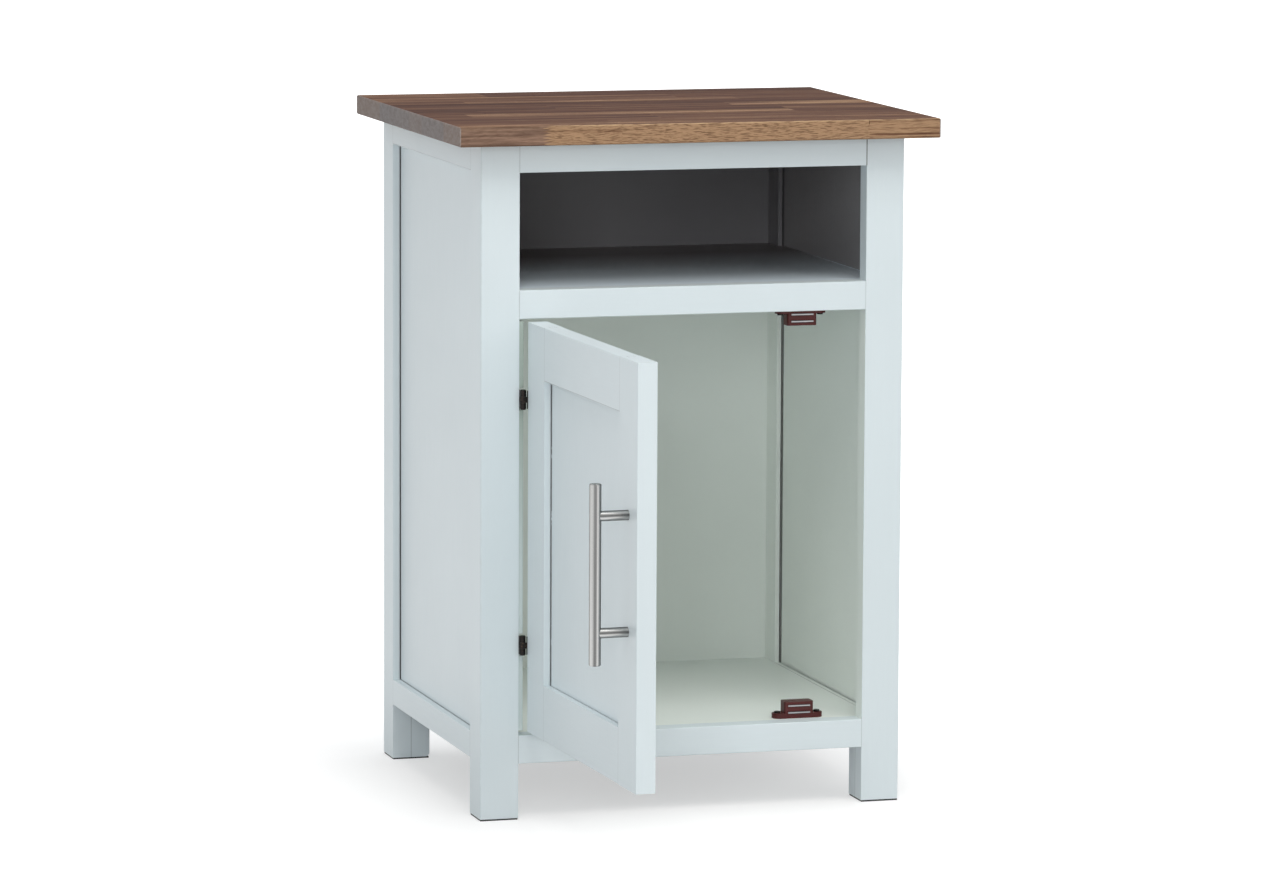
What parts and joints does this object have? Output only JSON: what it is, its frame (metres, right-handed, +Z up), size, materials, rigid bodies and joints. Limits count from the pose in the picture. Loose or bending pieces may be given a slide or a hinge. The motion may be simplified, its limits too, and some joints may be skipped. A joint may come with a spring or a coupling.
{
  "type": "side table cabinet",
  "caption": "Small white frame-and-panel side table with a butcher-block top, an open cubby and a cupboard below with one inset hinged door.",
  "frame": {"origin": "on the floor, midway between the four posts", "axes": "+Z up, -Y out of the front where the door is, +X to the right seen from the front"},
  "size_m": [0.452, 0.6796, 0.6335],
  "materials": {
    "white_paint": "satin white paint on wood",
    "butcher_block": "stained and sealed edge-glued staves",
    "brushed_steel": "brushed",
    "dark_bronze": "dark bronze finish on steel",
    "brown_plastic": "moulded",
    "ferrite": "sintered",
    "zinc_steel": "zinc plated",
    "glide_nylon": "moulded"
  },
  "bodies": {
    "cabinet": {"back_panel": "white_paint", "catch_block": "white_paint", "catch_lower_housing": "brown_plastic", "catch_magnets": "ferrite", "catch_poles": "zinc_steel", "catch_screws": "zinc_steel", "catch_upper_housing": "brown_plastic", "cleat_screws": "zinc_steel", "floor_board": "white_paint", "foot_glides": "glide_nylon", "front_rail_bottom": "white_paint", "front_rail_shelf": "white_paint", "front_rail_top": "white_paint", "front_stile_left": "white_paint", "front_stile_right": "white_paint", "hinge_lower_frame_leaf": "dark_bronze", "hinge_lower_pin": "dark_bronze", "hinge_screws_frame": "dark_bronze", "hinge_strip_lower": "white_paint", "hinge_strip_middle": "white_paint", "hinge_strip_upper": "white_paint", "hinge_upper_frame_leaf": "dark_bronze", "hinge_upper_pin": "dark_bronze", "leg_block_front_left": "white_paint", "leg_block_front_right": "white_paint", "leg_block_rear_left": "white_paint", "leg_block_rear_right": "white_paint", "rear_rail_bottom": "white_paint", "rear_rail_shelf": "white_paint", "rear_rail_top": "white_paint", "shelf_board": "white_paint", "side_panel_left": "white_paint", "side_panel_right": "white_paint", "side_rail_bottom_left": "white_paint", "side_rail_bottom_right": "white_paint", "side_rail_top_left": "white_paint", "side_rail_top_right": "white_paint", "side_stile_front_left": "white_paint", "side_stile_front_right": "white_paint", "side_stile_rear_left": "white_paint", "side_stile_rear_right": "white_paint", "top_cleat_left": "white_paint", "top_cleat_right": "white_paint", "top_panel": "butcher_block"},
    "door": {"door_panel": "white_paint", "door_rail_lower": "white_paint", "door_rail_upper": "white_paint", "door_stile_free": "white_paint", "door_stile_hinge": "white_paint", "handle_bar": "brushed_steel", "handle_post_lower": "brushed_steel", "handle_post_upper": "brushed_steel", "handle_screws": "zinc_steel", "hinge_lower_door_leaf": "dark_bronze", "hinge_screws_door": "dark_bronze", "hinge_upper_door_leaf": "dark_bronze", "strike_plate_lower": "zinc_steel", "strike_plate_upper": "zinc_steel", "strike_screws": "zinc_steel"}
  },
  "joints": [
    {"name": "door_hinge", "type": "hinge", "parent": "cabinet", "child": "door", "pos_m": [-0.1612, -0.181, 0.27], "axis": [0, 0, 1], "range_deg": [-81.6, 88.4]}
  ]
}
